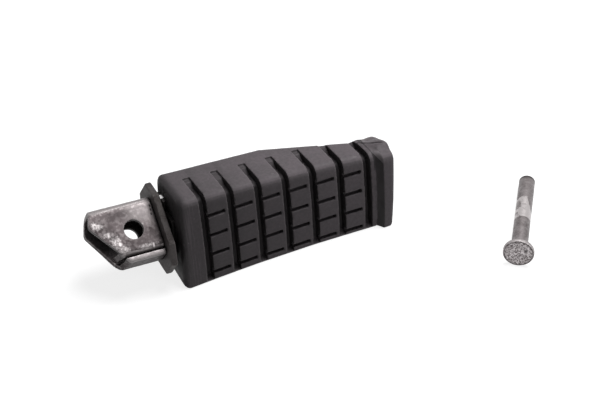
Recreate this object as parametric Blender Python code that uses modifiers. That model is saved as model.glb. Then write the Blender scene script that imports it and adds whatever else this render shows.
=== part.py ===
"""Motorcycle passenger footpeg, lying on its side with its hinge pin beside it.

A moulded rubber tread sleeve sits on a bevelled core bar. The bar is welded to an eight-sided stop plate,
and a lug folded from sheet steel is welded to the other side of the plate, turned about the peg's length so
that the peg folds up and back. The lug is cross-bored for the hinge pin, which has been taken out.

The peg's own frame has X along its length from the lug, Y from the tread face to the back, and Z up the tread.
"""

import math

import bmesh
import bpy
from mathutils import Matrix, Vector

# Driving dimensions, in metres and degrees
# Tread sleeve: overall form
SLEEVE_START = -0.0115
BAND_START = 0.0028
GROOVE_PITCH = 0.0140
GROOVE_COUNT = 7
GROOVE_WIDTH = 0.0036
RIDGE_WIDTH = 0.0021
COVE_WIDTH = 0.0032
COVE_DROP = 0.0006
FLANGE_WIDTH = 0.0060
FLANGE_RISE = 0.0030
FLANGE_CROWN = 0.0013
TREAD_ABOVE = 0.0234
TREAD_BELOW = 0.0244
TREAD_TAPER = 0.0643
TREAD_CROWN = 0.0030
CROWN_HEIGHT = -0.0150
TREAD_DISH = 0.0016
DISH_PLACE = 0.0380
SIDE_DRAFT = 4.2
SLEEVE_DEPTH = 0.0314
BEVEL_START = 0.0420
BEVEL_ANGLE = 18.3
TOP_EDGE_RADIUS = 0.0045
BOTTOM_EDGE_RADIUS = 0.0008
BACK_EDGE_RADIUS = 0.0028
INNER_END_RADIUS = 0.0030
OUTER_END_RADIUS = 0.0022
END_LEAN = 0.048
# Lobe on the back of the outer end
LOBE_START = 0.0795
LOBE_BACK_WALL = 0.0106
LOBE_STEP = 0.0004
LOBE_SWELL = 0.62
LOBE_END_SHARE = 0.3
LOBE_RADIUS = 0.0045
# Grooves and slots of the tread
GROOVE_DEPTH = 0.0042
GROOVE_BACK_WALL = 0.0096
GROOVE_CORNER = 0.0024
CORNER_SHARE = 0.7
SILL_HEIGHT = 0.0007
SILL_DEPTH = 0.0004
SILL_RISE = 0.0014
SILL_CORNER = 0.0008
SHELF_DEPTH = 0.0012
SHELF_LENGTH = 0.0026
LONG_SHELF_LENGTH = 0.0062
LONG_SHELF_GROOVE = 1
SLOT_WIDTH = 0.0019
SLOT_DEPTH = 0.0026
SLOT_PITCH = 0.0106
SLOT_COUNT = 4
TOP_SLOT_HEIGHT = 0.0125
SLOT_END_MARGIN = 0.0016
# Core bar inside the sleeve
CORE_HEIGHT = 0.0200
CORE_FRONT = 0.0088
CORE_BACK_WALL = 0.0078
CORE_TIP_THICKNESS = 0.0042
CORE_COVER = 0.0045
CORE_EDGE = 0.0006
SHOULDER_THICKNESS = 0.0019
SHOULDER_FRONT = 0.0165
SHOULDER_BACK_WALL = 0.0064
SHOULDER_ABOVE = 0.0165
SHOULDER_BELOW = 0.0130
# Stop plate, seen along the hinge lug's length
HINGE_TURN = 52.2
HINGE_LEAN = 2.6
HINGE_SWING = 1.8
HINGE_DEPTH = 0.0185
HINGE_HEIGHT = 0.0015
PLATE_FACE = -0.0176
PLATE_THICKNESS = 0.0032
PLATE_HEIGHT = 0.0414
PLATE_WIDTH = 0.0274
PLATE_CORNER_HEIGHT = 0.0085
PLATE_CORNER_WIDTH = 0.0068
PLATE_DROP = 0.0006
PLATE_EDGE = 0.0005
# Hinge lug
SHEET = 0.0024
LUG_THICKNESS = 0.0164
LUG_TOP = 0.0142
LUG_BOTTOM = -0.0146
LUG_BEND = 0.0020
LAP_BEND = 0.0003
LAP_GAP = 0.0008
LAP_LENGTH = 0.0100
LAP_SLOPE = 0.0010
LUG_TIP = 0.0320
LUG_TIP_TOP = 0.0295
LUG_TIP_HEIGHT = 0.0055
LUG_HEEL = 0.0207
LUG_HEEL_HEIGHT = -0.0119
LUG_HEEL_SKEW = 0.0012
BORE_RADIUS = 0.0046
BORE_FROM_PLATE = 0.0119
# Hinge pin
PIN_RADIUS = 0.0040
PIN_LENGTH = 0.0587
PIN_HEAD_RADIUS = 0.0075
PIN_HEAD_THICKNESS = 0.0022
PIN_EDGE = 0.0004
PIN_TIP_CHAMFER = 0.0009
PIN_HEAD_X = 0.1356
PIN_HEAD_Y = -0.0555
PIN_HEADING = 37.2
# Fits
CLEARANCE = 0.0003
CUT_SPILL = 0.0100

# Places worked out from the driving dimensions
BAND_WIDTH = GROOVE_PITCH - GROOVE_WIDTH
LAST_GROOVE_END = BAND_START + (GROOVE_COUNT - 1) * GROOVE_PITCH
COVE_START = LAST_GROOVE_END + RIDGE_WIDTH
FLANGE_START = COVE_START + COVE_WIDTH
SLEEVE_END = FLANGE_START + FLANGE_WIDTH
DRAFT = math.tan(math.radians(SIDE_DRAFT))
BEVEL = math.tan(math.radians(BEVEL_ANGLE))
LOBE_BACK = SLEEVE_DEPTH - LOBE_BACK_WALL
GROOVE_REACH = SLEEVE_DEPTH - GROOVE_BACK_WALL
CORE_BACK = SLEEVE_DEPTH - CORE_BACK_WALL
CORE_END = BEVEL_START + (SLEEVE_DEPTH - CORE_COVER - CORE_FRONT - CORE_TIP_THICKNESS) / BEVEL
SHOULDER_BACK = SLEEVE_DEPTH - SHOULDER_BACK_WALL


def clear_scene():
    for item in list(bpy.data.objects):
        bpy.data.objects.remove(item, do_unlink=True)


def new_collection(name):
    made = bpy.data.collections.new(name)
    bpy.context.scene.collection.children.link(made)
    return made


def new_material(name, colour, roughness, metallic):
    made = bpy.data.materials.new(name)
    made.use_nodes = True
    shader = made.node_tree.nodes["Principled BSDF"]
    shader.inputs["Base Color"].default_value = (*colour, 1.0)
    shader.inputs["Roughness"].default_value = roughness
    shader.inputs["Metallic"].default_value = metallic
    return made


def new_object(name, build, collection, material=None, parent=None):
    """An object whose mesh the function build fills, in the frame of its parent."""
    mesh = bpy.data.meshes.new(name)
    shape = bmesh.new()
    build(shape)
    bmesh.ops.recalc_face_normals(shape, faces=shape.faces)
    shape.to_mesh(mesh)
    shape.free()
    made = bpy.data.objects.new(name, mesh)
    collection.objects.link(made)
    made.parent = parent
    if material:
        mesh.materials.append(material)
    return made


def boolean(target, cutter, operation="DIFFERENCE"):
    made = target.modifiers.new(f"{operation.lower()} {cutter.name}", "BOOLEAN")
    made.operation = operation
    made.solver = "EXACT"
    made.object = cutter


def hide(cutter):
    cutter.hide_render = True
    cutter.display_type = "WIRE"
    return cutter


def shade_smooth(target, angle=35.0):
    target.data.shade_smooth()
    target.data.set_sharp_from_angle(angle=math.radians(angle))


def arc(centre, radius, start, end, steps):
    """Points of an arc from one angle to another, in degrees, both ends included."""
    found = []
    for step in range(steps + 1):
        angle = math.radians(start + (end - start) * step / steps)
        found.append((centre[0] + radius * math.cos(angle), centre[1] + radius * math.sin(angle)))
    return found


def rounded(corners, steps=4):
    """A closed outline whose corners, given as (x, y, radius), are turned into arcs."""
    found = []
    for index, (x, y, radius) in enumerate(corners):
        here = Vector((x, y))
        before = (Vector(corners[index - 1][:2]) - here).normalized()
        after = (Vector(corners[(index + 1) % len(corners)][:2]) - here).normalized()
        if radius <= 0:
            found.append((x, y))
            continue
        half = before.angle(after) / 2
        middle = here + (before + after).normalized() * (radius / math.sin(half))
        first = here + before * (radius / math.tan(half)) - middle
        last = here + after * (radius / math.tan(half)) - middle
        sweep = first.angle_signed(last)
        for step in range(steps + 1):
            turned = Matrix.Rotation(-sweep * step / steps, 2) @ first
            found.append(tuple(middle + turned))
    return found


def prism(shape, outline, low, high, place):
    """Fills a bmesh with an outline swept from low to high; place(a, b, along) gives each corner's position."""
    bottom = [shape.verts.new(place(a, b, low)) for a, b in outline]
    top = [shape.verts.new(place(a, b, high)) for a, b in outline]
    shape.faces.new(bottom)
    shape.faces.new(top)
    for index in range(len(outline)):
        after = (index + 1) % len(outline)
        shape.faces.new((bottom[index], bottom[after], top[after], top[index]))


def loft(shape, sections):
    """Fills a bmesh with a skin through rings of equally many points, closed at both ends."""
    rings = [[shape.verts.new(point) for point in ring] for ring in sections]
    for first, second in zip(rings, rings[1:]):
        for index in range(len(first)):
            after = (index + 1) % len(first)
            shape.faces.new((first[index], first[after], second[after], second[index]))
    shape.faces.new(rings[0])
    shape.faces.new(rings[-1])


def across_length(a, b, along):
    """Outline drawn in the peg's depth and height, swept along its length."""
    return (along, a, b)


def across_height(a, b, along):
    """Outline drawn in length and depth, swept up the height."""
    return (a, b, along)


def across_depth(a, b, along):
    """Outline drawn in length and height, swept through the depth."""
    return (a, along, b)


def floor_height(depth):
    """Height of the lower side at a depth behind the tread, drawn in by the draft."""
    return -TREAD_BELOW + DRAFT * depth


def roof_height(x, depth):
    """Height of the upper side, which is drafted and falls away along the peg."""
    return TREAD_ABOVE - TREAD_TAPER * x - DRAFT * depth


def end_inset(x):
    """How far the rounding of the sleeve's two ends draws its outline in."""
    for distance, radius in ((x - SLEEVE_START, INNER_END_RADIUS), (SLEEVE_END - x, OUTER_END_RADIUS)):
        if distance < radius:
            return radius - math.sqrt(max(0.0, radius**2 - (radius - distance) ** 2))
    return 0.0


def tread_face(x):
    """Depth of the tread face: dished along the bands, and rising through the cove to the flange."""
    share = (min(x, COVE_START) - DISH_PLACE) / (COVE_START - DISH_PLACE)
    rise = min(1.0, max(0.0, (x - COVE_START) / COVE_WIDTH))
    drop = COVE_DROP * (1 - rise) if x > COVE_START else 0.0
    return drop - TREAD_DISH * share**2 - FLANGE_RISE * rise**1.2


def crown(height):
    """How far the tread face falls back above and below its proudest line."""
    return TREAD_CROWN * ((height - CROWN_HEIGHT) / (TREAD_ABOVE - CROWN_HEIGHT)) ** 2


def leaned(x, height):
    """Place along the peg of a point whose ring stands at x: the two end faces lean outwards towards the top."""
    first_groove = BAND_START - GROOVE_WIDTH
    inner = max(0.0, (first_groove - x) / (first_groove - SLEEVE_START))
    outer = max(0.0, (x - COVE_START) / (SLEEVE_END - COVE_START))
    return x + END_LEAN * height * (inner + outer)


def sleeve_back(x):
    """Depth of the back face, bevelled towards the outer end for lean clearance."""
    return SLEEVE_DEPTH - BEVEL * max(0.0, x - BEVEL_START)


def sleeve_section(x):
    """One ring of the sleeve: a drafted four-sided outline with round edges and a crowned tread face."""
    inset = end_inset(x)
    front = tread_face(x) + inset
    back = sleeve_back(x) - inset
    front_low = front + crown(floor_height(front))
    front_high = front + crown(roof_height(x, front))
    # On a thin wall the two upper edges share the room that there is
    ease = min(1.0, (back - front_high) / (TOP_EDGE_RADIUS + BACK_EDGE_RADIUS))
    corners = (
        (front_low, floor_height(front_low) + inset, BOTTOM_EDGE_RADIUS),
        (back, floor_height(back) + inset, BACK_EDGE_RADIUS * ease),
        (back, roof_height(x, back) - inset, BACK_EDGE_RADIUS * ease),
        (front_high, roof_height(x, front_high) - inset, TOP_EDGE_RADIUS * ease - inset / 2),
    )
    outline = rounded(corners, steps=5)
    # The upper side runs from the back corner's last point to the tread corner's first
    run = 4
    last_back, first_front = outline[3 * 6 - 1], outline[3 * 6]
    swell = FLANGE_CROWN * min(1.0, max(0.0, (x - COVE_START) / COVE_WIDTH))
    upper = []
    for step in range(1, run):
        share = step / run
        height = last_back[1] + (first_front[1] - last_back[1]) * share + swell * math.sin(math.pi * share)
        upper.append((last_back[0] + (first_front[0] - last_back[0]) * share, height))
    outline[3 * 6:3 * 6] = upper
    # The tread face runs from the last point of the outline down to the first
    top, bottom = outline[-1], outline[0]
    across = 6
    for step in range(1, across):
        height = top[1] + (bottom[1] - top[1]) * step / across
        straight = top[0] + (bottom[0] - top[0]) * step / across
        chord = crown(top[1]) + (crown(bottom[1]) - crown(top[1])) * step / across
        outline.append((straight - (chord - crown(height)), height))
    return [(leaned(x, height), depth, height) for depth, height in outline]


def sleeve_stations():
    """Places along the peg that get a ring: close together where the form turns, and wide apart on the bands."""
    turns = 5
    found = []
    for step in range(turns + 1):
        share = 1 - math.cos(math.pi / 2 * step / turns)
        found.append(SLEEVE_START + INNER_END_RADIUS * share)
    bands = 7
    found += [BAND_START + (COVE_START - BAND_START) * step / bands for step in range(bands + 1)]
    found += [BEVEL_START, COVE_START + CLEARANCE]
    found += [COVE_START + COVE_WIDTH * step / turns for step in range(1, turns + 1)]
    for step in range(turns + 1):
        share = 1 - math.cos(math.pi / 2 * step / turns)
        found.append(SLEEVE_END - OUTER_END_RADIUS * share)
    return sorted(found)


def lobe_section(x):
    """One ring of the raised lobe, which stands proud of the bevelled back at the outer end."""
    run = (x - LOBE_START) / (SLEEVE_END - LOBE_START)
    swell = math.sin(math.pi / 2 * min(1.0, run / LOBE_SWELL))
    inset = end_inset(x) * LOBE_END_SHARE
    start_back = sleeve_back(LOBE_START) - LOBE_STEP
    back = start_back + (LOBE_BACK - start_back) * swell - inset
    front = LOBE_BACK - 3 * LOBE_RADIUS
    low = floor_height(LOBE_BACK) + LOBE_STEP + inset
    high = roof_height(x, LOBE_BACK) - LOBE_STEP - inset
    corners = ((front, low, 0), (back, low, LOBE_RADIUS), (back, high, LOBE_RADIUS), (front, high, 0))
    return [(leaned(x, height), depth, height) for depth, height in rounded(corners, steps=5)]


def groove_profile(index, x):
    """The space that one groove takes from the tread face and the upper side, in depth and height.

    It runs out at a low sill along the lower edge.
    """
    shelf_length = LONG_SHELF_LENGTH if index == LONG_SHELF_GROOVE else SHELF_LENGTH
    shelf = GROOVE_REACH - shelf_length
    ramp = shelf - (GROOVE_DEPTH - SHELF_DEPTH)
    floor = tread_face(x) + GROOVE_DEPTH
    high, low = roof_height(x, floor), floor_height(floor)
    corner = min(GROOVE_CORNER, (ramp - floor - crown(high)) * CORNER_SHARE)
    above = (
        (GROOVE_REACH, high + CUT_SPILL, 0),
        (GROOVE_REACH, roof_height(x, GROOVE_REACH) - SHELF_DEPTH, 0),
        (shelf, roof_height(x, shelf) - SHELF_DEPTH, 0),
        (ramp, roof_height(x, ramp) - GROOVE_DEPTH, 0.0008),
        (floor + crown(high), high - GROOVE_DEPTH, corner),
    )
    sill = floor_height(0.0) + SILL_HEIGHT
    below = (
        (floor + crown(low), low + SILL_RISE, SILL_CORNER),
        (tread_face(x) + crown(sill) + SILL_DEPTH, sill, 0),
    )
    front = ((-CUT_SPILL, sill, 0), (-CUT_SPILL, high + CUT_SPILL, 0))
    return rounded(above + below + front, steps=4)


def build_grooves(shape):
    for index in range(GROOVE_COUNT):
        end = BAND_START + index * GROOVE_PITCH
        start = end - GROOVE_WIDTH
        prism(shape, groove_profile(index, (start + end) / 2), start, end, across_length)


def build_slots(shape):
    for band in range(GROOVE_COUNT - 1):
        start = BAND_START + band * GROOVE_PITCH
        end = start + BAND_WIDTH - SLOT_END_MARGIN
        for row in range(SLOT_COUNT):
            height = TOP_SLOT_HEIGHT - row * SLOT_PITCH
            height -= TREAD_TAPER / 2 * start
            face = tread_face((start + end) / 2) + crown(height)
            outline = (
                (-CUT_SPILL, height - SLOT_WIDTH / 2),
                (face + SLOT_DEPTH, height - SLOT_WIDTH / 2),
                (face + SLOT_DEPTH, height + SLOT_WIDTH / 2),
                (-CUT_SPILL, height + SLOT_WIDTH / 2),
            )
            prism(shape, outline, start - GROOVE_WIDTH / 2, end, across_length)


def core_outline(gap):
    """The core bar in length and depth, or the pocket round it when gap is its clearance."""
    start = SLEEVE_START - CLEARANCE - SHOULDER_THICKNESS / 2 if not gap else SLEEVE_START - CUT_SPILL
    tip_back = sleeve_back(CORE_END) - CORE_COVER
    bend = BEVEL_START + (SLEEVE_DEPTH - CORE_COVER - CORE_BACK) / BEVEL
    return (
        (start, CORE_FRONT - gap),
        (CORE_END + gap, CORE_FRONT - gap),
        (CORE_END + gap, tip_back + gap),
        (bend, CORE_BACK + gap),
        (start, CORE_BACK + gap),
    )


def build_core(shape, gap=0.0):
    half = CORE_HEIGHT / 2 + gap
    prism(shape, core_outline(gap), -half, half, across_height)


def build_shoulder(shape):
    """The wide end of the core bar, which the sleeve's inner end faces."""
    outline = (
        (SHOULDER_FRONT, -SHOULDER_BELOW),
        (SHOULDER_BACK, -SHOULDER_BELOW),
        (SHOULDER_BACK, SHOULDER_ABOVE),
        (SHOULDER_FRONT, SHOULDER_ABOVE),
    )
    prism(shape, outline, -SHOULDER_THICKNESS, 0.0, across_length)


def make_sleeve(collection, cutters, material, frame):
    def body(shape):
        loft(shape, [sleeve_section(x) for x in sleeve_stations()])

    def lobe(shape):
        rings = 12
        reach = SLEEVE_END - LOBE_START
        places = [LOBE_START + reach * math.sin(math.pi / 2 * step / rings) for step in range(rings + 1)]
        loft(shape, [lobe_section(x) for x in places])

    sleeve = new_object("tread_rubber", body, collection, material, frame)
    lobe_form = hide(new_object("lobe_form", lobe, cutters, parent=frame))
    pocket = hide(new_object("core_pocket", lambda shape: build_core(shape, CLEARANCE), cutters, parent=frame))
    grooves = hide(new_object("groove_cutters", build_grooves, cutters, parent=frame))
    slots = hide(new_object("slot_cutters", build_slots, cutters, parent=frame))
    boolean(sleeve, lobe_form, "UNION")
    for cutter in (pocket, grooves, slots):
        boolean(sleeve, cutter)
    shade_smooth(sleeve)
    return sleeve


def make_core(collection, cutters, material, frame):
    core = new_object("core_bar", build_core, collection, material, frame)
    shoulder = hide(new_object("shoulder_form", build_shoulder, cutters, parent=frame))
    shoulder.location.x = SLEEVE_START - 2 * CLEARANCE
    shoulder.rotation_euler.y = END_LEAN
    boolean(core, shoulder, "UNION")
    bevel = core.modifiers.new("edges", "BEVEL")
    bevel.width = CORE_EDGE
    bevel.segments = 2
    shade_smooth(core)
    return core


def make_plate(collection, material, frame):
    half_width = PLATE_WIDTH / 2
    half_tall = PLATE_HEIGHT / 2
    outline = []
    for width, height in ((-1, -1), (1, -1), (1, 1), (-1, 1)):
        near = (width * (half_width - PLATE_CORNER_WIDTH), height * half_tall - PLATE_DROP)
        far = (width * half_width, height * (half_tall - PLATE_CORNER_HEIGHT) - PLATE_DROP)
        outline += [near, far] if width * height < 0 else [far, near]
    plate = new_object(
        "stop_plate", lambda shape: prism(shape, outline, 0.0, PLATE_THICKNESS, across_length), collection, material, frame
    )
    bevel = plate.modifiers.new("edges", "BEVEL")
    bevel.width = PLATE_EDGE
    bevel.segments = 2
    bevel.limit_method = "ANGLE"
    bevel.angle_limit = math.radians(60)
    shade_smooth(plate)
    return plate


def lug_path():
    """Middle line of the folded sheet, from the inner lap round to the outer lap, in depth and height."""
    side = LUG_THICKNESS / 2 - SHEET / 2
    top = LUG_TOP - SHEET / 2
    bottom = LUG_BOTTOM + SHEET / 2
    lap = bottom + SHEET + LAP_GAP
    middle_bend = LUG_BEND + SHEET / 2
    closed = rounded(
        (
            (LAP_LENGTH - side, lap + LAP_SLOPE, 0),
            (-side, lap, LAP_BEND + SHEET / 2),
            (-side, top, middle_bend),
            (side, top, middle_bend),
            (side, bottom, middle_bend),
            (-side - SHEET / 2 + CLEARANCE, bottom, 0),
        ),
        steps=5,
    )
    return closed


def build_lug_sheet(shape):
    end = -CLEARANCE
    start = -LUG_TIP - CUT_SPILL
    path = lug_path()
    near = [shape.verts.new((start, depth, height)) for depth, height in path]
    far = [shape.verts.new((end, depth, height)) for depth, height in path]
    for index in range(len(path) - 1):
        shape.faces.new((near[index], near[index + 1], far[index + 1], far[index]))


def lug_end_outline(heel):
    """Everything past the lug's end: a short upright nose, then the long slant back to the heel."""
    slant = (LUG_TIP - heel) / (LUG_TIP_HEIGHT - LUG_HEEL_HEIGHT)
    nose = (LUG_TIP - LUG_TIP_TOP) / (LUG_TOP - LUG_TIP_HEIGHT)
    above = LUG_TOP + CUT_SPILL
    below = LUG_BOTTOM - CUT_SPILL
    return rounded(
        (
            (-LUG_TIP - 3 * CUT_SPILL, above, 0),
            (-LUG_TIP - 3 * CUT_SPILL, below, 0),
            (-heel + slant * (LUG_HEEL_HEIGHT - below), below, 0),
            (-LUG_TIP, LUG_TIP_HEIGHT, 0.003),
            (-LUG_TIP + nose * (above - LUG_TIP_HEIGHT), above, 0),
        ),
        steps=4,
    )


def build_lug_end(shape):
    """The cutter for the lug's end, whose slant runs a little further back on the front cheek."""
    rings = []
    for side in (-1, 1):
        outline = lug_end_outline(LUG_HEEL + side * LUG_HEEL_SKEW)
        rings.append([(x, side * LUG_THICKNESS / 2, height) for x, height in outline])
    outer = [[(x, 2 * depth, height) for x, depth, height in ring] for ring in rings]
    loft(shape, [outer[0], rings[0], rings[1], outer[1]])


def build_bore(shape):
    turned = Matrix.Translation((-BORE_FROM_PLATE, 0, 0)) @ Matrix.Rotation(math.radians(90), 4, "X")
    bmesh.ops.create_cone(
        shape, cap_ends=True, segments=40, radius1=BORE_RADIUS, radius2=BORE_RADIUS, depth=2 * LUG_THICKNESS, matrix=turned
    )


def make_lug(collection, cutters, material, frame):
    lug = new_object("hinge_lug", build_lug_sheet, collection, material, frame)
    sheet = lug.modifiers.new("sheet", "SOLIDIFY")
    sheet.thickness = SHEET
    sheet.offset = 0.0
    sheet.use_even_offset = True
    boolean(lug, hide(new_object("lug_end_cutter", build_lug_end, cutters, parent=frame)))
    boolean(lug, hide(new_object("bore_cutter", build_bore, cutters, parent=frame)))
    shade_smooth(lug)
    return lug


def make_pin(collection, material):
    """The headed pin, turned about its own axis, lying on its head's rim and its tip."""
    profile = [(0.0, 0.0)]
    profile += [(PIN_HEAD_RADIUS - PIN_EDGE + a, PIN_EDGE + b) for a, b in arc((0, 0), PIN_EDGE, -90, 0, 3)]
    profile += [
        (PIN_HEAD_RADIUS, PIN_HEAD_THICKNESS - PIN_EDGE),
        (PIN_HEAD_RADIUS - PIN_EDGE, PIN_HEAD_THICKNESS),
        (PIN_RADIUS + PIN_EDGE, PIN_HEAD_THICKNESS),
        (PIN_RADIUS, PIN_HEAD_THICKNESS + PIN_EDGE),
        (PIN_RADIUS, PIN_LENGTH - PIN_TIP_CHAMFER),
        (PIN_RADIUS - PIN_TIP_CHAMFER, PIN_LENGTH),
        (0.0, PIN_LENGTH),
    ]

    def half_outline(shape):
        points = [shape.verts.new((radius, 0, along)) for radius, along in reversed(profile)]
        for first, second in zip(points, points[1:]):
            shape.edges.new((first, second))

    pin = new_object("hinge_pin", half_outline, collection, material)
    screw = pin.modifiers.new("turned", "SCREW")
    screw.steps = 40
    screw.render_steps = 40
    screw.use_merge_vertices = True
    screw.merge_threshold = 0.00001
    screw.use_smooth_shade = True
    # The pin lies on the back of its head's rim and on the end of its shank
    rim_along = PIN_HEAD_THICKNESS - PIN_EDGE
    end_along = PIN_LENGTH - PIN_TIP_CHAMFER
    tilt = math.atan2(PIN_HEAD_RADIUS - PIN_RADIUS, end_along - rim_along)
    height = PIN_HEAD_RADIUS * math.cos(tilt) + rim_along * math.sin(tilt)
    heading = math.radians(PIN_HEADING)
    flat = math.cos(tilt)
    axis = Vector((math.sin(heading) * flat, math.cos(heading) * flat, -math.sin(tilt)))
    pin.rotation_mode = "QUATERNION"
    pin.rotation_quaternion = axis.to_track_quat("Z", "Y")
    pin.location = (PIN_HEAD_X, PIN_HEAD_Y, height)
    return pin


def place_peg(frame):
    """Turns the peg's frame so that the drafted lower side of the sleeve lies flat on the ground."""
    turn = Matrix.Rotation(-math.radians(SIDE_DRAFT), 3, "X")
    frame.rotation_euler = turn.to_euler()
    frame.location = -(turn @ Vector((0, 0, -TREAD_BELOW)))


def centre_in_plan(collection, roots):
    """Moves everything so that the origin is at the middle of the bounding box's underside."""
    bpy.context.view_layer.update()
    graph = bpy.context.evaluated_depsgraph_get()
    points = []
    for item in collection.objects:
        if item.type == "MESH":
            shown = item.evaluated_get(graph)
            points += [shown.matrix_world @ vertex.co for vertex in shown.data.vertices]
    for axis in (0, 1):
        values = [point[axis] for point in points]
        middle = (min(values) + max(values)) / 2
        for root in roots:
            root.location[axis] -= middle


def main():
    clear_scene()
    parts = new_collection("passenger_footpeg")
    cutters = new_collection("cutters")
    rubber = new_material("black_rubber", (0.035, 0.031, 0.031), 0.62, 0.0)
    steel = new_material("worn_steel", (0.42, 0.38, 0.36), 0.42, 0.9)
    dark_steel = new_material("dark_steel", (0.10, 0.095, 0.09), 0.55, 0.7)
    pin_steel = new_material("pin_steel", (0.36, 0.33, 0.32), 0.40, 0.9)

    peg_frame = bpy.data.objects.new("peg_frame", None)
    hinge_frame = bpy.data.objects.new("hinge_frame", None)
    for frame in (peg_frame, hinge_frame):
        parts.objects.link(frame)
    hinge_frame.parent = peg_frame
    hinge_frame.location = (PLATE_FACE, HINGE_DEPTH, HINGE_HEIGHT)
    hinge_frame.rotation_mode = "ZYX"
    hinge_frame.rotation_euler = (-math.radians(HINGE_TURN), math.radians(HINGE_LEAN), math.radians(HINGE_SWING))
    place_peg(peg_frame)

    make_sleeve(parts, cutters, rubber, peg_frame)
    make_core(parts, cutters, dark_steel, peg_frame)
    make_plate(parts, dark_steel, hinge_frame)
    make_lug(parts, cutters, steel, hinge_frame)
    pin = make_pin(parts, pin_steel)
    centre_in_plan(parts, (peg_frame, pin))


main()
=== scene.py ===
"""Looks of a passenger footpeg and its hinge pin, as an add-on with one operator for each piece."""

import math

import bmesh
import bpy
import numpy as np
from bpy.props import FloatProperty, FloatVectorProperty, IntProperty, PointerProperty
from mathutils import Matrix, Vector, noise


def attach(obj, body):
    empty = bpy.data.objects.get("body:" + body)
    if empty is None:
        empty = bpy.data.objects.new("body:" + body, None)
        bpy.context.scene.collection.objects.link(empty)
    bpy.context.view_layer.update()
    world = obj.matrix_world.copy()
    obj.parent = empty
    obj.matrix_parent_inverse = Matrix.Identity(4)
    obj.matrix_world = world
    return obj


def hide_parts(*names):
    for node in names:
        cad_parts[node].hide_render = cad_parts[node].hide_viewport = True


bl_info = {
    "name": "Passenger Footpeg",
    "version": (1, 0, 0),
    "blender": (4, 5, 0),
    "location": "3D View > Sidebar > Footpeg",
    "description": "Builds the finished pieces of a rubber-covered passenger footpeg",
    "category": "Add Mesh",
}

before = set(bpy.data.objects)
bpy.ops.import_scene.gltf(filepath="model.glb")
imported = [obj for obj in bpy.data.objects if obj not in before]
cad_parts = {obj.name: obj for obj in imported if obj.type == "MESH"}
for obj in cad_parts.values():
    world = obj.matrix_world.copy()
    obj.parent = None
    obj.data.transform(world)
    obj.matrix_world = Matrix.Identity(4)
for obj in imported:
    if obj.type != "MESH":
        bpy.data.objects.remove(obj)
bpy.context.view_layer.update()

# Places of the peg, its hinge lug and its pin in the frame, in metres
PEG_ORIGIN = (-0.062182, 0.011281, 0.024334)
PEG_TILT = -4.2
LUG_ORIGIN = (-0.079782, 0.029841, 0.024476)
LUG_X = (0.99848, -0.02038, -0.05125)
LUG_Y = (-0.03138, 0.55431, -0.83172)
LUG_Z = (0.04536, 0.83206, 0.55282)
PIN_ORIGIN = (0.073418, -0.046006, 0.007598)
PIN_AXIS = (0.60338, 0.79493, -0.06339)

# Seam between the sleeve's top and its lobe: places along the peg, and the seam's depth at each
LOBE_SEAM_X = (0.0780, 0.0868, 0.0886, 0.0955)
LOBE_SEAM_DEPTH = (0.0190, 0.0150, 0.0126, 0.0060)

# Its dark line on the outer end's top: start, end, depth at the start, slope and half width
LOBE_SEAM_LINE = (0.0868, 0.0958, 0.0143, -0.95, 0.0006)

# The plain form's short ramp up to the outer end, and the even rise that takes its place
RAMP_HEIGHT = 0.0010
RAMP_START = 0.0889
RAMP_LENGTH = 0.0035
RISE_START = 0.0874
RISE_END = 0.0965

# The cove before the flange: where it starts and ends, and the slanted line that its upper end stops at
COVE_START = 0.0888
COVE_END = 0.0920
COVE_SLANT = 1.33
COVE_REACH = 0.1362

# The tread's bands: where they start, their pitch and the width of the grooves between them
BAND_START = 0.0028
BAND_PITCH = 0.0140
GROOVE_WIDTH = 0.0036

# The slots across the bands: height of the top one, pitch, fall along the peg, half width and outer end
SLOT_TOP = 0.0125
SLOT_PITCH = 0.0106
SLOT_FALL = 0.03215
SLOT_HALF = 0.0014
SLOT_END = 0.0082


# Small helpers


def axes_matrix(origin, x_axis, y_axis, z_axis):
    """The placing of a local frame with these axes."""
    made = Matrix((x_axis, y_axis, z_axis)).transposed().to_4x4()
    made.translation = origin
    return made


def peg_matrix():
    """The placing of the peg's own frame, tilted back about its length."""
    return Matrix.Translation(PEG_ORIGIN) @ Matrix.Rotation(math.radians(PEG_TILT), 4, "X")


def lug_matrix():
    """The placing of the lug's frame: X to the stop plate, -Y out of the front cheek, Z up the lug."""
    return axes_matrix(LUG_ORIGIN, LUG_X, LUG_Y, LUG_Z)


def pin_matrix():
    """The placing of the pin's frame, with Z from the head's face to the tip."""
    along = Vector(PIN_AXIS).normalized()
    side = along.cross(Vector((0, 0, 1))).normalized()
    return axes_matrix(PIN_ORIGIN, side, along.cross(side), along)


def new_piece(name, mesh, placing):
    """An object in the scene at a local frame."""
    made = bpy.data.objects.new(name, mesh)
    bpy.context.scene.collection.objects.link(made)
    made.matrix_world = placing
    return made


def finished(name, mesh, placing, material, node):
    """Puts a piece in the scene with its material and its body, and hides the CAD node that it stands for.
    """
    piece = new_piece(name, mesh, placing)
    mesh.materials.append(material)
    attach(piece, "root")
    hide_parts(node)


def node_mesh(node, placing):
    """A CAD node's mesh as one welded skin, in a local frame."""
    shape = bmesh.new()
    shape.from_mesh(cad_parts[node].data)
    shape.transform(placing.inverted())
    bmesh.ops.remove_doubles(shape, verts=shape.verts, dist=1e-6)
    mesh = bpy.data.meshes.new(node)
    shape.to_mesh(mesh)
    shape.free()
    return mesh


def reshaped(mesh, kind, **settings):
    """The mesh that one modifier makes of another, which goes."""
    worker = new_piece("worker", mesh, Matrix.Identity(4))
    modifier = worker.modifiers.new(kind, kind)
    for key, value in settings.items():
        setattr(modifier, key, value)
    graph = bpy.context.evaluated_depsgraph_get()
    made = bpy.data.meshes.new_from_object(worker.evaluated_get(graph))
    bpy.data.objects.remove(worker)
    bpy.data.meshes.remove(mesh)
    made.shade_smooth()
    return made


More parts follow.
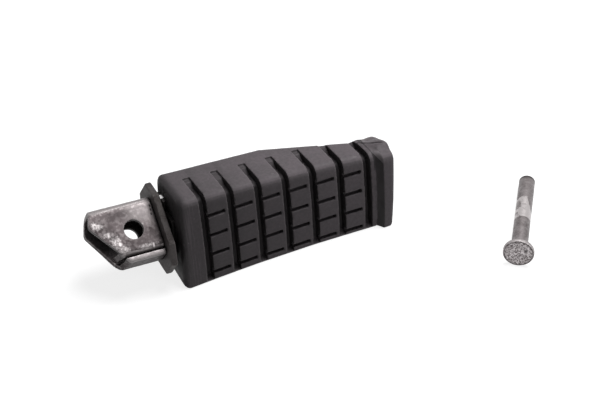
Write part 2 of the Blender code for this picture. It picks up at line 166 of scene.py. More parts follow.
def fine_skin(mesh, cell):
    """The same form as an even skin of small quads, so that its edges can be worn round."""
    return reshaped(mesh, "REMESH", mode="VOXEL", voxel_size=cell, adaptivity=0.0)


def points_of(mesh, what="co"):
    """The places of the mesh's vertices, or their normals, as an array."""
    found = np.zeros(len(mesh.vertices) * 3, np.float32)
    mesh.vertices.foreach_get(what, found)
    return found.reshape(-1, 3).astype(float)


def put_points(mesh, points):
    """Writes the vertices back and shades the skin smooth."""
    mesh.vertices.foreach_set("co", points.astype(np.float32).ravel())
    mesh.update()
    mesh.shade_smooth()


def eased(mesh, rounds, shrink=0.5, swell=-0.53, share=None):
    """Rounds the mesh's edges by steps of shrinking and swelling, by a share at each vertex."""
    edges = np.zeros(len(mesh.edges) * 2, np.int64)
    mesh.edges.foreach_get("vertices", edges)
    edges = edges.reshape(-1, 2)
    points = points_of(mesh)
    count = np.bincount(edges.ravel(), minlength=len(points))[:, None]
    weight = 1.0 if share is None else share[:, None]
    for _ in range(rounds):
        for step in (shrink, swell):
            total = np.zeros_like(points)
            for axis in range(3):
                near = np.bincount(edges[:, 0], points[edges[:, 1], axis], len(points))
                far = np.bincount(edges[:, 1], points[edges[:, 0], axis], len(points))
                total[:, axis] = near + far
            points += step * weight * (total / count - points)
    put_points(mesh, points)


def turned(name, profile, around):
    """A closed mesh turned about Z from pairs of radius and height, the first and last on the axis."""
    shape = bmesh.new()
    rings = []
    for reach, height in profile[1:-1]:
        ring = []
        for step in range(around):
            angle = 2 * math.pi * step / around
            ring.append(shape.verts.new((reach * math.cos(angle), reach * math.sin(angle), height)))
        rings.append(ring)
    bottom = shape.verts.new((0, 0, profile[0][1]))
    top = shape.verts.new((0, 0, profile[-1][1]))
    for step in range(around):
        after = (step + 1) % around
        shape.faces.new((bottom, rings[0][after], rings[0][step]))
        shape.faces.new((top, rings[-1][step], rings[-1][after]))
        for low, high in zip(rings, rings[1:]):
            shape.faces.new((low[step], low[after], high[after], high[step]))
    bmesh.ops.recalc_face_normals(shape, faces=shape.faces)
    mesh = bpy.data.meshes.new(name)
    shape.to_mesh(mesh)
    shape.free()
    return mesh


def ramp(values, low, high):
    """A smooth rise from 0 at low to 1 at high."""
    share = np.clip((values - low) / (high - low), 0.0, 1.0)
    return share * share * (3 - 2 * share)


def pushed(mesh, push):
    """Moves each vertex out along its normal by push(place, normal), in metres."""
    points = points_of(mesh)
    normals = points_of(mesh, "normal")
    amounts = [push(Vector(place), Vector(normal)) for place, normal in zip(points, normals)]
    put_points(mesh, points + normals * np.array(amounts)[:, None])


# Shader helpers


class Number:
    """A number that changes over the surface. Each plain sum with it adds a Math node to its tree."""

    def __init__(self, socket):
        self.socket = socket

    def __add__(self, other):
        return maths("ADD", self, other)

    def __sub__(self, other):
        return maths("SUBTRACT", self, other)

    def __rsub__(self, other):
        return maths("SUBTRACT", other, self)

    def __mul__(self, other):
        return maths("MULTIPLY", self, other)

    def __truediv__(self, other):
        return maths("DIVIDE", self, other)

    def __mod__(self, other):
        return maths("FLOORED_MODULO", self, other)

    def __abs__(self):
        return maths("ABSOLUTE", self)


def tree_of(*values):
    """The tree of the first value that is a Number or a socket."""
    sockets = (value.socket if isinstance(value, Number) else value for value in values)
    return next(socket.id_data for socket in sockets if isinstance(socket, bpy.types.NodeSocket))


def feed(value, socket):
    """Links a socket to another node's output, or gives it a plain value."""
    if isinstance(value, Number):
        value = value.socket
    if isinstance(value, bpy.types.NodeSocket):
        socket.id_data.links.new(value, socket)
    else:
        socket.default_value = value


def fill(node, **inputs):
    """Feeds a node's inputs, which are given by name, or as i and their place in the list."""
    for key, value in inputs.items():
        feed(value, node.inputs[int(key[1:]) if key[1:].isdigit() else key.replace("_", " ")])


def add(tree, kind, settings=None, **inputs):
    """A new node of the tree, with its settings and inputs."""
    node = tree.nodes.new(kind)
    for key, value in (settings or {}).items():
        setattr(node, key, value)
    fill(node, **inputs)
    return node


def effect(tree, name, **inputs):
    """One of the shared groups, placed in a material."""
    group = {"node_tree": bpy.data.node_groups[name]}
    return Number(add(tree, "ShaderNodeGroup", group, **inputs).outputs[0])


def maths(operation, first, second=0.0):
    """A number worked out from two others."""
    node = add(tree_of(first, second), "ShaderNodeMath", {"operation": operation}, i0=first, i1=second)
    return Number(node.outputs[0])


def held(number):
    """The result of a sum, held between 0 and 1."""
    number.socket.node.use_clamp = True
    return number


def most(first, *others):
    """The largest of some numbers."""
    for other in others:
        first = maths("MAXIMUM", first, other)
    return first


def between(value, low, high, to_low=0.0, to_high=1.0):
    """A value spread softly from low..high to another range."""
    settings = {"interpolation_type": "SMOOTHSTEP"}
    ends = {"i1": low, "i2": high, "i3": to_low, "i4": to_high}
    return Number(add(tree_of(value), "ShaderNodeMapRange", settings, i0=value, **ends).outputs[0])


def tinted(share, first, second):
    """One colour turning into another by a share."""
    node = add(tree_of(share, first, second), "ShaderNodeMix", {"data_type": "RGBA"}, Factor=share)
    for value, socket in ((first, node.inputs[6]), (second, node.inputs[7])):
        feed(value if isinstance(value, bpy.types.NodeSocket) else (*value, 1.0), socket)
    return node.outputs[2]


def cloud(tree, place, scale, **inputs):
    """A field of soft noise."""
    return Number(add(tree, "ShaderNodeTexNoise", Vector=place, Scale=scale, **inputs).outputs[0])


def vector_maths(tree, operation, first, second=(0.0, 0.0, 0.0)):
    """The outputs of a sum of vectors: the vector and the number."""
    node = add(tree, "ShaderNodeVectorMath", {"operation": operation}, i0=first, i1=second)
    return node.outputs[0], Number(node.outputs[1])


def parts_of(tree, place):
    """The three numbers of a vector."""
    node = add(tree, "ShaderNodeSeparateXYZ", Vector=place)
    return [Number(node.outputs[axis]) for axis in "XYZ"]


def geometry(tree, output):
    """What the surface itself says: which way it faces, or how its edges bend."""
    return Number(tree.nodes.new("ShaderNodeNewGeometry").outputs[output])


def shut_in(tree, distance, low, high, alone=True):
    """How much a place is shut in by the piece alone, or by its neighbours too: 1 deep in a bore."""
    settings = {"samples": 8, "only_local": alone}
    node = add(tree, "ShaderNodeAmbientOcclusion", settings, Distance=distance)
    return between(Number(node.outputs["AO"]), high, low)


def relief(tree, height, strength, distance):
    """The normal of a fine relief."""
    return add(tree, "ShaderNodeBump", Strength=strength, Distance=distance, Height=height).outputs[0]


def new_material(name):
    """A new material, with its tree, its Principled shader and its local coordinates."""
    material = bpy.data.materials.new(name)
    material.use_nodes = True
    tree = material.node_tree
    place = tree.nodes.new("ShaderNodeTexCoord").outputs["Object"]
    return material, tree, tree.nodes["Principled BSDF"], place


# Shared effects


def new_group(name, output, **inputs):
    """A shared effect's empty group: its tree, its inputs, and the socket of its one output.

    An input whose default is one number is a number, and any other is a vector.
    """
    tree = bpy.data.node_groups.new(name, "ShaderNodeTree")
    labels = [key.replace("_", " ") for key in inputs]
    for label, default in zip(labels, inputs.values()):
        kind = "NodeSocketFloat" if isinstance(default, float) else "NodeSocketVector"
        socket = tree.interface.new_socket(label, in_out="INPUT", socket_type=kind)
        if default is not None:
            socket.default_value = default
    tree.interface.new_socket(output, in_out="OUTPUT", socket_type="NodeSocketFloat")
    entry = tree.nodes.new("NodeGroupInput")
    leave = tree.nodes.new("NodeGroupOutput")
    return tree, [Number(entry.outputs[label]) for label in labels], leave.inputs[0]


def build_blotches():
    """Cloudy patches: noise cut between two levels."""
    tree, (place, scale, detail, low, high), mask = new_group(
        "Blotches", "Mask", Vector=None, Scale=100.0, Detail=4.0, Low=0.45, High=0.6
    )
    feed(between(cloud(tree, place, scale, Detail=detail), low, high), mask)


def build_edge_wear():
    """Wear along outward edges, broken up by noise."""
    tree, (place, low, high, scale, breakup), mask = new_group(
        "Edge Wear", "Mask", Vector=None, Low=0.51, High=0.56, Breakup_Scale=400.0, Breakup=0.05
    )
    moved = (cloud(tree, place, scale) - 0.5) * breakup
    feed(between(geometry(tree, "Pointiness") + moved, low, high), mask)


def build_grain():
    """Fine grain as a height: small bumps over larger ones."""
    tree, (place, scale, coarse_share), height = new_group(
        "Grain", "Height", Vector=None, Scale=1500.0, Coarse_Share=0.4
    )
    fine = cloud(tree, place, scale, Detail=6.0)
    coarse = cloud(tree, place, scale * 0.18, Detail=3.0)
    both = add(tree, "ShaderNodeMix", {"data_type": "FLOAT"}, Factor=coarse_share, i2=fine, i3=coarse)
    feed(both.outputs[0], height)


def build_spot():
    """A patch with a ragged edge round a place."""
    tree, (place, centre, stretch, inner, outer, ragged, ragged_scale), mask = new_group(
        "Spot", "Mask", Vector=None, Centre=(0.0, 0.0, 0.0), Stretch=(1.0, 1.0, 1.0),
        Inner=0.5, Outer=1.0, Ragged=0.5, Ragged_Scale=500.0,
    )
    away, _ = vector_maths(tree, "SUBTRACT", place, centre)
    sized, _ = vector_maths(tree, "DIVIDE", away, stretch)
    _, length = vector_maths(tree, "LENGTH", sized)
    moved = (cloud(tree, place, ragged_scale, Detail=4.0) - 0.5) * ragged
    feed(between(length + moved, outer, inner), mask)


def build_facing():
    """How far a surface faces one way: for dust that settles there, and for painted highlights and painted
    shade.
    """
    tree, (direction, low, high), mask = new_group(
        "Facing", "Mask", Direction=(0.0, 0.0, 1.0), Low=0.2, High=1.0
    )
    _, dot = vector_maths(tree, "DOT_PRODUCT", geometry(tree, "Normal"), direction)
    feed(between(dot, low, high), mask)


def build_streak():
    """A thin ragged streak along a straight line, drawn in a local frame's length and height."""
    tree, (place, start, end, height, slope, width, fade), mask = new_group(
        "Streak", "Mask", Vector=None, Start=0.0, End=0.01, Height=0.0, Slope=0.0, Width=0.0005, Fade=0.001
    )
    x, _, z = parts_of(tree, place)
    run = x - start
    line = height + run * slope
    wander = (cloud(tree, place, 700.0, Detail=3.0) - 0.5) * width
    across = between(abs(z - line + wander), width, 0.0)
    ends = between(run, 0.0, fade) * between(end - x, 0.0, fade)
    feed(across * ends, mask)


def build_groups():
    """Builds each shared effect once."""
    build_blotches()
    build_edge_wear()
    build_grain()
    build_spot()
    build_facing()
    build_streak()


def blotches(tree, place, scale, detail, low, high):
    """Cloudy patches in a material."""
    return effect(tree, "Blotches", Vector=place, Scale=scale, Detail=detail, Low=low, High=high)


def facing(tree, direction, low, high):
    """A mask of what faces one way in a material."""
    return effect(tree, "Facing", Direction=direction, Low=low, High=high)


def edge_wear(tree, place, low, high, scale, breakup):
    """A mask of worn edges in a material."""
    return effect(tree, "Edge Wear", Vector=place, Low=low, High=high, Breakup_Scale=scale, Breakup=breakup)


def spot(tree, place, mark, outer, ragged_scale):
    """One mark in a material: its centre, half sizes, hard share and raggedness."""
    centre, stretch, inner, ragged = mark
    return effect(
        tree, "Spot", Vector=place, Centre=centre, Stretch=stretch,
        Inner=inner, Outer=outer, Ragged=ragged, Ragged_Scale=ragged_scale,
    )


def streak(tree, place, line, fade):
    """One streak in a material: its start, end, height, slope and half width."""
    start, end, height, slope, width = line
    return effect(
        tree, "Streak", Vector=place, Start=start, End=end,
        Height=height, Slope=slope, Width=width, Fade=fade,
    )


# Materials


def rubber_material(settings):
    """Black moulded rubber: dust on the bands, painted shade in the grooves, painted crown highlights and
    fine grain.
    """
    material, tree, shader, place = new_material("black_rubber_finish")
    x, depth, height = parts_of(tree, place)
    clouds = blotches(tree, place, 130.0, 6.0, 0.40, 0.62)
    fine = blotches(tree, place, 700.0, 4.0, 0.40, 0.62)
    specks = blotches(tree, place, 650.0, 2.0, 0.73, 0.77)
    up = facing(tree, (0.0, 0.0, 1.0), 0.15, 0.85)
    tread = facing(tree, (0.12, -0.99, 0.0), 0.45, 0.98)
    crown_highlight = facing(tree, (0.0, -0.55, 0.83), 0.955, 0.995)
    inner = facing(tree, (-1.0, 0.0, 0.0), 0.08, 0.75)
    # Dust on the top and the tread, with a painted light that grows towards the lamps at the outer end
    top_dust_and_light = up * between(x, 0.0, 0.050, 0.76, 1.0)
    tread_dust_and_light = tread * between(x, 0.0, 0.100, 0.40, 0.78)
    dust_and_light = most(top_dust_and_light, tread_dust_and_light) * (clouds * 0.18 + fine * 0.18 + 0.63)
    # Painted highlight along the crown of the rounded top front edge
    dust_and_light = held(dust_and_light + crown_highlight * 0.14)
    # Painted shade: the rubber is darker in the grooves
    band_place = (x - BAND_START) % BAND_PITCH
    band_width = BAND_PITCH - GROOVE_WIDTH
    groove_shade = between(band_place, band_width, band_width + 0.0006)
    groove_shade = groove_shade * (between(x, -0.0012, -0.0008) * between(x, 0.0872, 0.0868))
    groove_shade = groove_shade * between(depth, settings.groove_back + 0.0006, settings.groove_back)
    dust_and_light = dust_and_light * (1.0 - groove_shade * 0.5)
    # Painted shade: each inner band is darker beside its groove
    near = between(band_place, 0.0045, 0.0010) * between(x, 0.0450, 0.0100)
    dust_and_light = dust_and_light * (1.0 - near * 0.25)
    colour = tinted(dust_and_light, settings.colour, settings.dust)
    lobe = between(depth, 0.0150, 0.0185) * between(x, 0.0860, 0.0920)
    colour = tinted(lobe * 0.6, colour, settings.lobe)
    # Thin upright mould lines on the plain strip before the first groove
    drawn, _ = vector_maths(tree, "MULTIPLY", place, (1.0, 0.04, 0.04))
    lines = blotches(tree, drawn, 1300.0, 2.0, 0.50, 0.62) * (tread * between(x, -0.0030, -0.0045))
    colour = tinted(lines * 0.30, colour, settings.dust)
    colour = tinted(edge_wear(tree, place, 0.512, 0.57, 350.0, 0.06) * 0.5, colour, settings.scuff)
    colour = tinted(specks * 0.5, colour, settings.scuff)
    # Painted shade: the cove starts as a sharp dark wedge on the rounded edge; painted light makes the
    # flange above it pale
    below_slant = between(x * COVE_SLANT + height, COVE_REACH, COVE_REACH - 0.0006)
    cove = between(x, COVE_START - 0.0004, COVE_START) * between(x, COVE_END + 0.0005, COVE_END)
    cove = cove * between(height, 0.0070, 0.0110)
    flange_light = cove * (1.0 - below_slant) * between(depth, 0.0040, 0.0015)
    colour = tinted(flange_light * 0.8, colour, settings.scuff)
    # Painted shade in corners and hollows, less of it where the slots run out at their outer ends
    hollow = between(geometry(tree, "Pointiness"), 0.48, 0.36)
    shade = most(shut_in(tree, 0.0030, 0.0, 0.52) * 0.72, hollow * 0.3)
    slot_end = between(band_place, 0.0062, 0.0080) * between(band_place, 0.0100, 0.0094)
    shade = shade * (1.0 - slot_end * 0.75)
    # Painted shade over the slots, their lit lower ledges too, with soft borders
    level = height + (x - band_place) * SLOT_FALL
    offset = (level - (SLOT_TOP - SLOT_PITCH * 3.5)) % SLOT_PITCH
    slot = between(abs(offset - SLOT_PITCH / 2), SLOT_HALF, SLOT_HALF - 0.0005)
    slot = slot * between(depth, 0.0045, 0.0035)
    slot = slot * between(band_place, SLOT_END + 0.0011, SLOT_END)
    slot = slot * between(level, SLOT_TOP + 0.0030, SLOT_TOP + 0.0020)
    slot = slot * between(x, 0.0010, 0.0020) * between(x, 0.0840, 0.0830)
    # Painted shade on the inner end and up over its rounded upper edge, on the cove's wedge and in the
    # lobe's seam
    rolled = up * between(x, -0.0052, -0.0085)
    laid = add(tree, "ShaderNodeCombineXYZ", X=x, Z=depth).outputs[0]
    seam = streak(tree, laid, LOBE_SEAM_LINE, 0.002) * up
    shade = most(shade, slot * 0.68, inner * 0.5, rolled * 0.58, cove * below_slant * 0.8, seam * 0.38)
    grain = effect(tree, "Grain", Vector=place, Scale=1400.0, Coarse_Share=0.35)
    fill(
        shader,
        Base_Color=tinted(shade, colour, settings.crevice),
        Roughness=between(clouds, 0.0, 1.0, settings.roughness - 0.06, settings.roughness + 0.08),
        Specular_IOR_Level=0.12,
        Normal=relief(tree, grain, 0.45, 0.00010),
    )
    return material


def stained_steel_material(name, settings, reach, glint=None):
    """Dark, dull steel: brown-grey stains, lighter edges, painted shade where it is shut in, and a painted
    glint.
    """
    material, tree, shader, place = new_material(name)
    wide = blotches(tree, place, 160.0, 6.0, 0.38, 0.66)
    fine = blotches(tree, place, 1100.0, 4.0, 0.42, 0.68)
    edge = edge_wear(tree, place, 0.515, 0.57, 500.0, 0.05)
    colour = tinted(wide, settings.colour, settings.stain)
    colour = tinted(fine * 0.45, colour, settings.pale)
    colour = tinted(edge * 0.6, colour, settings.bare)
    # Painted shade where the piece and its neighbours shut it in
    hidden_shade = shut_in(tree, reach, 0.25, 0.85, alone=False)
    colour = tinted(hidden_shade * 0.9, colour, settings.crevice)
    # The core is darkened all over by painted shade, but for one painted glint
    if glint:
        colour = tinted(0.75, colour, settings.crevice)
        colour = tinted(spot(tree, place, glint, 1.0, 700.0), colour, settings.glint)
    grain = effect(tree, "Grain", Vector=place, Scale=1100.0, Coarse_Share=0.5)
    fill(
        shader,
        Base_Color=colour,
        Metallic=held(edge * 0.3 + 0.2),
        Roughness=between(fine, 0.0, 1.0, settings.roughness - 0.08, settings.roughness + 0.1),
        Specular_IOR_Level=0.12,
        Normal=relief(tree, grain, 0.5, 0.00010),
    )
    return material


def spots(tree, place, marks, ragged_scale):
    """One mask for a list of marks."""
    return most(*(spot(tree, place, mark, 1.1, ragged_scale) for mark in marks))


def lug_material(settings):
    """Bare, battered steel: rubbed marks and painted glints on the cheek, bends with painted highlights,
    pits, and painted shade.
    """
    material, tree, shader, place = new_material("worn_steel_finish")
    x, depth, height = parts_of(tree, place)
    wide = blotches(tree, place, 150.0, 5.0, 0.42, 0.60)
    fine = blotches(tree, place, 650.0, 5.0, 0.44, 0.62)
    grit = blotches(tree, place, 1500.0, 3.0, 0.44, 0.58)
    colour = tinted(wide, settings.colour, settings.stain)
    colour = tinted(fine * 0.45, colour, settings.pale)
    # Wear and a painted highlight along the top bend
    top_bend = between(height, 0.0112, 0.0122)
    colour = tinted(top_bend * 0.35, colour, settings.bare)
    # The cheek is lighter above the bore, towards the plate
    clean = between(x, -0.019, -0.007) * between(height, -0.002, 0.007)
    colour = tinted(clean * 0.75, colour, settings.clean)
    colour = tinted(spots(tree, place, LUG_STAINED, 380.0) * 0.6, colour, settings.stain)
    rubbed = spots(tree, place, LUG_RUBBED, 620.0)
    for line, strength in LUG_STREAKS:
        rubbed = most(rubbed, streak(tree, place, line, 0.007) * strength)
    rubbed = rubbed * (grit * 0.45 + 0.25)
    # Rubbed marks, and painted glints
    colour = tinted(most(rubbed, spots(tree, place, LUG_GLINTS, 900.0)), colour, settings.bare)
    colour = tinted(edge_wear(tree, place, 0.515, 0.57, 420.0, 0.06) * 0.5, colour, settings.bare)
    # Painted shade beside the plate, underneath, and on the slanted cut end
    beside = between(x, -0.0036, -0.0004)
    under = between(height, -0.0130, -0.0146)
    cut_end = facing(tree, (-0.85, -0.15, -0.50), 0.30, 0.75)
    colour = tinted(most(beside * 0.6, under * 0.6, cut_end * 0.55), colour, settings.crevice)
    # Painted shade in the bore and the hollow; the open seam above the lap is shallow, and a painted light
    # keeps it lit
    seam = between(depth, -0.0048, -0.0062) * between(x, -0.0225, -0.0190)
    seam = seam * between(height, -0.0095, -0.0105)
    inside = shut_in(tree, 0.020, 0.35, 0.88) * 0.97 * (1.0 - seam * 0.92)
    colour = tinted(seam * 0.32, colour, settings.bare)
    pits = spots(tree, place, LUG_PITS, 900.0)
    pits_and_shade = most(pits * 0.85, inside)
    rough = between(fine, 0.0, 1.0, settings.roughness + 0.05, settings.roughness - 0.05)
    grain = effect(tree, "Grain", Vector=place, Scale=900.0, Coarse_Share=0.6)
    fill(
        shader,
        Base_Color=tinted(pits_and_shade, colour, settings.crevice),
        Metallic=held(0.8 - pits_and_shade * 0.7),
        Roughness=rough - rubbed * 0.10,
        Specular_IOR_Level=0.2,
        Normal=relief(tree, grain - pits * 0.8, 0.45, 0.00012),
    )
    return material


def pin_material(settings):
    """Dull pin with a bright rubbed tongue round the middle, a dark tip and a speckled, hammered head."""
    material, tree, shader, place = new_material("pin_steel_finish")
    x, y, z = parts_of(tree, place)
    wide = blotches(tree, place, 190.0, 5.0, 0.36, 0.66)
    fine = blotches(tree, place, 900.0, 4.0, 0.42, 0.66)
    # The bright tongue: full on its right side, dark blotches along its left
    wander = (cloud(tree, place, 330.0, Detail=5.0) - 0.5) * 0.004
    right_fall = most(x - 0.0010, 0.0) * 3.6
    rubbed = between(z + wander - (settings.rubbed_end - right_fall), 0.0005, -0.0005)
    start = z + wander * 0.12
    rubbed = rubbed * between(start, settings.rubbed_start - 0.0002, settings.rubbed_start + 0.0002)
    blot = blotches(tree, place, 420.0, 4.0, 0.52, 0.62) * between(x, 0.0022, -0.0016)
    blot = most(blot, spot(tree, place, PIN_BLOT, 1.05, 380.0))
    rubbed = rubbed * (1.0 - blot * 0.8)
    colour = tinted(wide, settings.colour, settings.stain)
    colour = tinted(fine * 0.3, colour, settings.pale)
    colour = tinted(rubbed, colour, settings.bare)
    # The head's face: speckled, with a dark ring inside its pale rim and one pit
    reach = maths("SQRT", x * x + y * y) / settings.head_radius
    head = between(z, 0.0006, 0.0002)
    crackle = between(cloud(tree, place, 1250.0, Detail=3.0, Distortion=0.8), 0.40, 0.58)
    patchy = blotches(tree, place, 330.0, 4.0, 0.36, 0.64)
    face = tinted(crackle * (patchy * 0.35 + 0.65), settings.stain, settings.face)
    face = tinted(spot(tree, place, HEAD_PIT, 1.2, 600.0) * 0.8, face, settings.dark)
    colour = tinted(head, colour, face)
    ring = between(reach, 0.84, 0.89) * between(reach, 0.97, 0.93)
    colour = tinted(ring * (head * 0.7), colour, settings.dark)
    rim = between(reach, 0.955, 0.985) * between(z, 0.0030, 0.0024)
    edge = edge_wear(tree, place, 0.52, 0.58, 600.0, 0.04)
    colour = tinted(most(rim * 0.6, edge * 0.4), colour, settings.bare)
    tip = between(z, settings.length - 0.0028, settings.length - 0.0020) * between(y, 0.0010, -0.0010)
    rough = between(fine, 0.0, 1.0, settings.roughness + 0.06, settings.roughness - 0.04)
    grain = effect(tree, "Grain", Vector=place, Scale=1300.0, Coarse_Share=0.4)
    fill(
        shader,
        Base_Color=tinted(tip * 0.85, colour, settings.dark),
        Metallic=0.85,
        Roughness=rough - rubbed * 0.08,
        Normal=relief(tree, grain + crackle * head * 1.2, 0.5, 0.00010),
    )
    return material


# Marks of the lug's front cheek, in the lug's frame: centre, half sizes, hard share and raggedness
CHEEK = -0.0082
LUG_RUBBED = (
    ((-0.0292, CHEEK, 0.0062), (0.0018, 0.003, 0.0022), 0.3, 1.1),
    ((-0.0276, CHEEK, 0.0050), (0.0030, 0.003, 0.0016), 0.2, 1.3),
    ((-0.0214, CHEEK, -0.0042), (0.0032, 0.003, 0.0036), 0.2, 1.8),
    ((-0.0190, CHEEK, -0.0084), (0.0030, 0.003, 0.0026), 0.2, 1.8),
    ((-0.0245, CHEEK, 0.0000), (0.0030, 0.003, 0.0016), 0.1, 1.8),
    ((-0.0080, CHEEK, -0.0090), (0.0060, 0.003, 0.0012), 0.1, 1.8),
)
LUG_GLINTS = (
    ((-0.0052, CHEEK, -0.0097), (0.0005, 0.002, 0.0014), 0.5, 0.4),
    ((-0.0010, CHEEK, -0.0104), (0.0008, 0.002, 0.0007), 0.5, 0.5),
    ((-0.0202, CHEEK, -0.0054), (0.0010, 0.002, 0.0012), 0.3, 1.2),
)
LUG_STAINED = (
    ((-0.0105, CHEEK, -0.0065), (0.0064, 0.003, 0.0026), 0.2, 1.2),
    ((-0.0040, CHEEK, -0.0040), (0.0044, 0.003, 0.0050), 0.2, 1.0),
    ((-0.0180, CHEEK, 0.0080), (0.0070, 0.003, 0.0040), 0.1, 1.0),
    ((-0.0230, CHEEK, 0.0030), (0.0030, 0.003, 0.0030), 0.1, 1.2),
)
LUG_PITS = (
    ((-0.0013, CHEEK, 0.0088), (0.0004, 0.002, 0.0007), 0.5, 0.8),
    ((-0.0015, CHEEK, 0.0070), (0.0004, 0.002, 0.0008), 0.5, 0.8),
    ((-0.0018, CHEEK, 0.0050), (0.0004, 0.002, 0.0008), 0.5, 0.8),
    ((-0.0205, -0.0066, -0.0126), (0.0017, 0.0030, 0.0018), 0.4, 0.9),
)
# Streaks along the cheek's two bends, worn and with a painted highlight: start, end, height, slope and half
# width, and their strength
LUG_STREAKS = (
    ((-0.0300, -0.0004, 0.0113, 0.032, 0.0007), 1.0),
    ((-0.0185, -0.0020, -0.0098, -0.079, 0.0005), 0.8),
)
# The painted glint of the core in the gap, the dark blot beside the pin's tongue, and the pit in its head
CORE_GLINT = ((-0.0128, 0.0205, 0.0165), (0.004, 0.0016, 0.0016), 0.7, 0.5)
PIN_BLOT = ((-0.0032, -0.0024, 0.0347), (0.0019, 0.0040, 0.0036), 0.7, 0.7)
HEAD_PIT = ((0.0034, -0.0019, 0.0), (0.0013, 0.0013, 0.002), 0.3, 0.9)


# Settings that a user would change


class FootpegRubberSettings(bpy.types.PropertyGroup):
    colour: FloatVectorProperty(
        name="Rubber", description="Colour of the clean rubber",
        subtype="COLOR", default=(0.040, 0.037, 0.038)
    )
    # Also the colour of the painted light towards the outer end and of the painted highlight on the crowns
    dust: FloatVectorProperty(
        name="Dust", description="Colour of the film of dust",
        subtype="COLOR", default=(0.132, 0.115, 0.125)
    )
    # Also the colour of the flange's painted light above the cove
    scuff: FloatVectorProperty(
        name="Scuffs", description="Colour of worn edges and specks",
        subtype="COLOR", default=(0.180, 0.162, 0.170)
    )
    # The colour of the painted shade in the grooves, slots and corners and on the inner end
    crevice: FloatVectorProperty(
        name="Crevices", description="Colour in the corners of the grooves",
        subtype="COLOR", default=(0.015, 0.013, 0.014)
    )
    lobe: FloatVectorProperty(
        name="Lobe", description="Colour of the paler lobe behind the outer end",
        subtype="COLOR", default=(0.20, 0.185, 0.185)
    )
    groove_back: FloatProperty(
        name="Groove Back", description="Depth at which the grooves end on top",
        default=0.0215, unit="LENGTH", precision=4
    )
    roughness: FloatProperty(
        name="Roughness", description="Roughness of the rubber", default=0.52, min=0.1, max=1.0
    )
    cell: FloatProperty(
        name="Skin Cell", description="Size of the cells of the fine skin",
        default=0.00040, unit="LENGTH", precision=5
    )
    easing: IntProperty(
        name="Edge Easing", description="Rounds of easing that soften the moulded edges", default=2
    )
    end_easing: IntProperty(
        name="End Easing", description="Rounds of easing at the top of the outer end", default=30
    )
    seam: FloatProperty(
        name="Seam", description="Depth of the seam before the lobe",
        default=0.0007, unit="LENGTH", precision=5
    )
    dome: FloatProperty(
        name="Dome", description="Swell of the top of the outer end",
        default=0.0014, unit="LENGTH", precision=5
    )
    face_share: FloatProperty(
        name="Face Share", description="Share of the skin's faces that is kept",
        default=0.5, min=0.1, max=1.0
    )
    ripple: FloatProperty(
        name="Ripple", description="Height of the slow unevenness of the moulding",
        default=0.00007, unit="LENGTH", precision=5
    )


class FootpegSteelSettings(bpy.types.PropertyGroup):
    colour: FloatVectorProperty(
        name="Steel", description="Colour of the dull steel", subtype="COLOR", default=(0.070, 0.063, 0.062)
    )
    stain: FloatVectorProperty(
        name="Stains", description="Colour of the brown stains",
        subtype="COLOR", default=(0.038, 0.032, 0.031)
    )
    pale: FloatVectorProperty(
        name="Pale Mottling", description="Colour of the pale mottling",
        subtype="COLOR", default=(0.110, 0.100, 0.099)
    )
    bare: FloatVectorProperty(
        name="Bare Edges", description="Colour of the rubbed edges",
        subtype="COLOR", default=(0.20, 0.185, 0.182)
    )
    # The colour of the painted shade where pieces meet and over the core in the gap
    crevice: FloatVectorProperty(
        name="Crevices", description="Colour where pieces meet",
        subtype="COLOR", default=(0.008, 0.007, 0.007)
    )
    roughness: FloatProperty(
        name="Roughness", description="Roughness of the dull steel", default=0.6, min=0.1, max=1.0
    )
    glint: FloatVectorProperty(
        name="Glint", description="Colour of the core's bright spot",
        subtype="COLOR", default=(0.95, 0.94, 0.94)
    )
    cell: FloatProperty(
        name="Skin Cell", description="Size of the cells of the plate's skin",
        default=0.00034, unit="LENGTH", precision=5
    )
    core_cell: FloatProperty(
        name="Core Cell", description="Size of the cells of the core's skin",
        default=0.0005, unit="LENGTH", precision=5
    )


class FootpegLugSettings(bpy.types.PropertyGroup):
    colour: FloatVectorProperty(
        name="Steel", description="Colour of the bare sheet steel",
        subtype="COLOR", default=(0.098, 0.083, 0.085)
    )
    stain: FloatVectorProperty(
        name="Stains", description="Colour of the dull stains",
        subtype="COLOR", default=(0.050, 0.042, 0.043)
    )
    pale: FloatVectorProperty(
        name="Pale Mottling", description="Colour of the pale mottling",
        subtype="COLOR", default=(0.185, 0.165, 0.167)
    )
    # The colour of the lighter steel above the bore
    clean: FloatVectorProperty(
        name="Clean Steel", description="Colour of the cleaner steel by the plate",
        subtype="COLOR", default=(0.265, 0.240, 0.241)
    )
    # Also the colour of the painted glints and of the painted highlights on the bends
    bare: FloatVectorProperty(
        name="Rubbed Metal", description="Colour of the rubbed bright metal",
        subtype="COLOR", default=(0.56, 0.525, 0.525)
    )
    # Pits, and the colour of the painted shade in the bore, beside the plate, underneath and on the cut end
    crevice: FloatVectorProperty(
        name="Pits", description="Colour of pits and dirty corners",
        subtype="COLOR", default=(0.012, 0.010, 0.010)
    )
    roughness: FloatProperty(
        name="Roughness", description="Roughness of the bare steel", default=0.5, min=0.1, max=1.0
    )
    cell: FloatProperty(
        name="Skin Cell", description="Size of the cells of the fine skin",
        default=0.00030, unit="LENGTH", precision=5
    )
    lap_easing: IntProperty(
        name="Lap Easing", description="Rounds of easing at the lap's lower corner", default=14
    )
    dents: FloatProperty(
        name="Dents", description="Depth of the dents of the battered sheet",
        default=0.00012, unit="LENGTH", precision=5
    )


